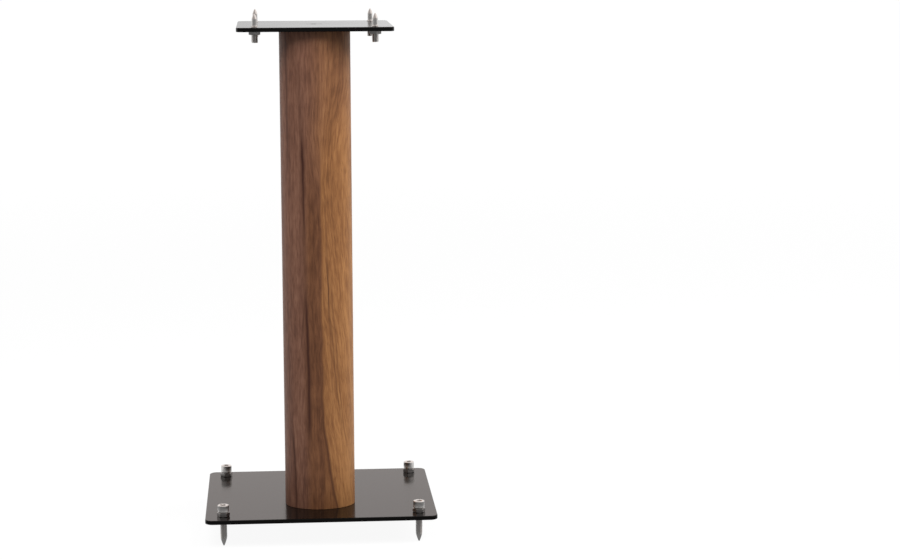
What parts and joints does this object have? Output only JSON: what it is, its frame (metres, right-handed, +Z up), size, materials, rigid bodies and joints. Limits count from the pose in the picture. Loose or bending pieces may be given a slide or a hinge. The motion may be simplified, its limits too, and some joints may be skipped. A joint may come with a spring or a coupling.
{
  "type": "speaker stand",
  "caption": "Speaker stand: a tall oval wood-veneered column clamped between a small black top plate and a larger black base plate, with adjustable spikes at the corners of both.",
  "frame": {"origin": "on the floor, under the middle of the base plate, at the height of the floor spikes' tips", "axes": "+Z up along the column, -Y towards the stand's front, +X to the right as seen from the front"},
  "size_m": [0.27, 0.24, 0.615],
  "materials": {
    "black_coat": "satin black powder coat with a fine texture",
    "walnut_veneer": "satin lacquer over straight-grained walnut",
    "fibreboard": "raw",
    "birch": "raw sawn",
    "bright_steel": "bright nickel plate, turned",
    "zinc_steel": "dull zinc plate"
  },
  "bodies": {
    "stand": {"base_plate": "black_coat", "top_plate": "black_coat", "column_veneer": "walnut_veneer", "column_core": "fibreboard", "column_bottom_block": "birch", "column_top_block": "birch", "tie_rod": "zinc_steel", "tie_rod_cap_nut": "black_coat", "tie_rod_nut": "zinc_steel", "tie_rod_washer": "zinc_steel", "locating_pin_base_front": "zinc_steel", "locating_pin_base_rear": "zinc_steel", "locating_pin_top_front": "zinc_steel", "locating_pin_top_rear": "zinc_steel"},
    "floor_spike_front_left": {"floor_spike_front_left": "bright_steel"},
    "floor_spike_front_right": {"floor_spike_front_right": "bright_steel"},
    "floor_spike_rear_left": {"floor_spike_rear_left": "bright_steel"},
    "floor_spike_rear_right": {"floor_spike_rear_right": "bright_steel"},
    "floor_lock_nut_front_left": {"floor_lock_nut_front_left": "bright_steel"},
    "floor_lock_nut_front_right": {"floor_lock_nut_front_right": "bright_steel"},
    "floor_lock_nut_rear_left": {"floor_lock_nut_rear_left": "bright_steel"},
    "floor_lock_nut_rear_right": {"floor_lock_nut_rear_right": "bright_steel"},
    "top_spike_front_left": {"top_spike_front_left": "bright_steel"},
    "top_spike_front_right": {"top_spike_front_right": "bright_steel"},
    "top_spike_rear_left": {"top_spike_rear_left": "bright_steel"},
    "top_spike_rear_right": {"top_spike_rear_right": "bright_steel"},
    "top_lock_nut_front_left": {"top_lock_nut_front_left": "bright_steel"},
    "top_lock_nut_front_right": {"top_lock_nut_front_right": "bright_steel"},
    "top_lock_nut_rear_left": {"top_lock_nut_rear_left": "bright_steel"},
    "top_lock_nut_rear_right": {"top_lock_nut_rear_right": "bright_steel"}
  },
  "joints": [
    {"name": "floor_spike_front_left_height", "type": "slide", "parent": "stand", "child": "floor_spike_front_left", "axis": [0, 0, 1], "range_m": [0, 0.012]},
    {"name": "floor_spike_front_right_height", "type": "slide", "parent": "stand", "child": "floor_spike_front_right", "axis": [0, 0, 1], "range_m": [0, 0.012]},
    {"name": "floor_spike_rear_left_height", "type": "slide", "parent": "stand", "child": "floor_spike_rear_left", "axis": [0, 0, 1], "range_m": [0, 0.012]},
    {"name": "floor_spike_rear_right_height", "type": "slide", "parent": "stand", "child": "floor_spike_rear_right", "axis": [0, 0, 1], "range_m": [0, 0.012]},
    {"name": "floor_lock_nut_front_left_spin", "type": "hinge", "parent": "stand", "child": "floor_lock_nut_front_left", "pos_m": [-0.114, -0.099, 0.035], "axis": [0, 0, 1], "continuous": true},
    {"name": "floor_lock_nut_front_right_spin", "type": "hinge", "parent": "stand", "child": "floor_lock_nut_front_right", "pos_m": [0.114, -0.099, 0.035], "axis": [0, 0, 1], "continuous": true},
    {"name": "floor_lock_nut_rear_left_spin", "type": "hinge", "parent": "stand", "child": "floor_lock_nut_rear_left", "pos_m": [-0.114, 0.099, 0.035], "axis": [0, 0, 1], "continuous": true},
    {"name": "floor_lock_nut_rear_right_spin", "type": "hinge", "parent": "stand", "child": "floor_lock_nut_rear_right", "pos_m": [0.114, 0.099, 0.035], "axis": [0, 0, 1], "continuous": true},
    {"name": "top_spike_front_left_height", "type": "slide", "parent": "stand", "child": "top_spike_front_left", "axis": [0, 0, 1], "range_m": [-0.004, 0.008]},
    {"name": "top_spike_front_right_height", "type": "slide", "parent": "stand", "child": "top_spike_front_right", "axis": [0, 0, 1], "range_m": [-0.004, 0.008]},
    {"name": "top_spike_rear_left_height", "type": "slide", "parent": "stand", "child": "top_spike_rear_left", "axis": [0, 0, 1], "range_m": [-0.004, 0.008]},
    {"name": "top_spike_rear_right_height", "type": "slide", "parent": "stand", "child": "top_spike_rear_right", "axis": [0, 0, 1], "range_m": [-0.004, 0.008]},
    {"name": "top_lock_nut_front_left_spin", "type": "hinge", "parent": "stand", "child": "top_lock_nut_front_left", "pos_m": [-0.069, -0.069, 0.591], "axis": [0, 0, 1], "continuous": true},
    {"name": "top_lock_nut_front_right_spin", "type": "hinge", "parent": "stand", "child": "top_lock_nut_front_right", "pos_m": [0.069, -0.069, 0.591], "axis": [0, 0, 1], "continuous": true},
    {"name": "top_lock_nut_rear_left_spin", "type": "hinge", "parent": "stand", "child": "top_lock_nut_rear_left", "pos_m": [-0.069, 0.069, 0.591], "axis": [0, 0, 1], "continuous": true},
    {"name": "top_lock_nut_rear_right_spin", "type": "hinge", "parent": "stand", "child": "top_lock_nut_rear_right", "pos_m": [0.069, 0.069, 0.591], "axis": [0, 0, 1], "continuous": true}
  ]
}
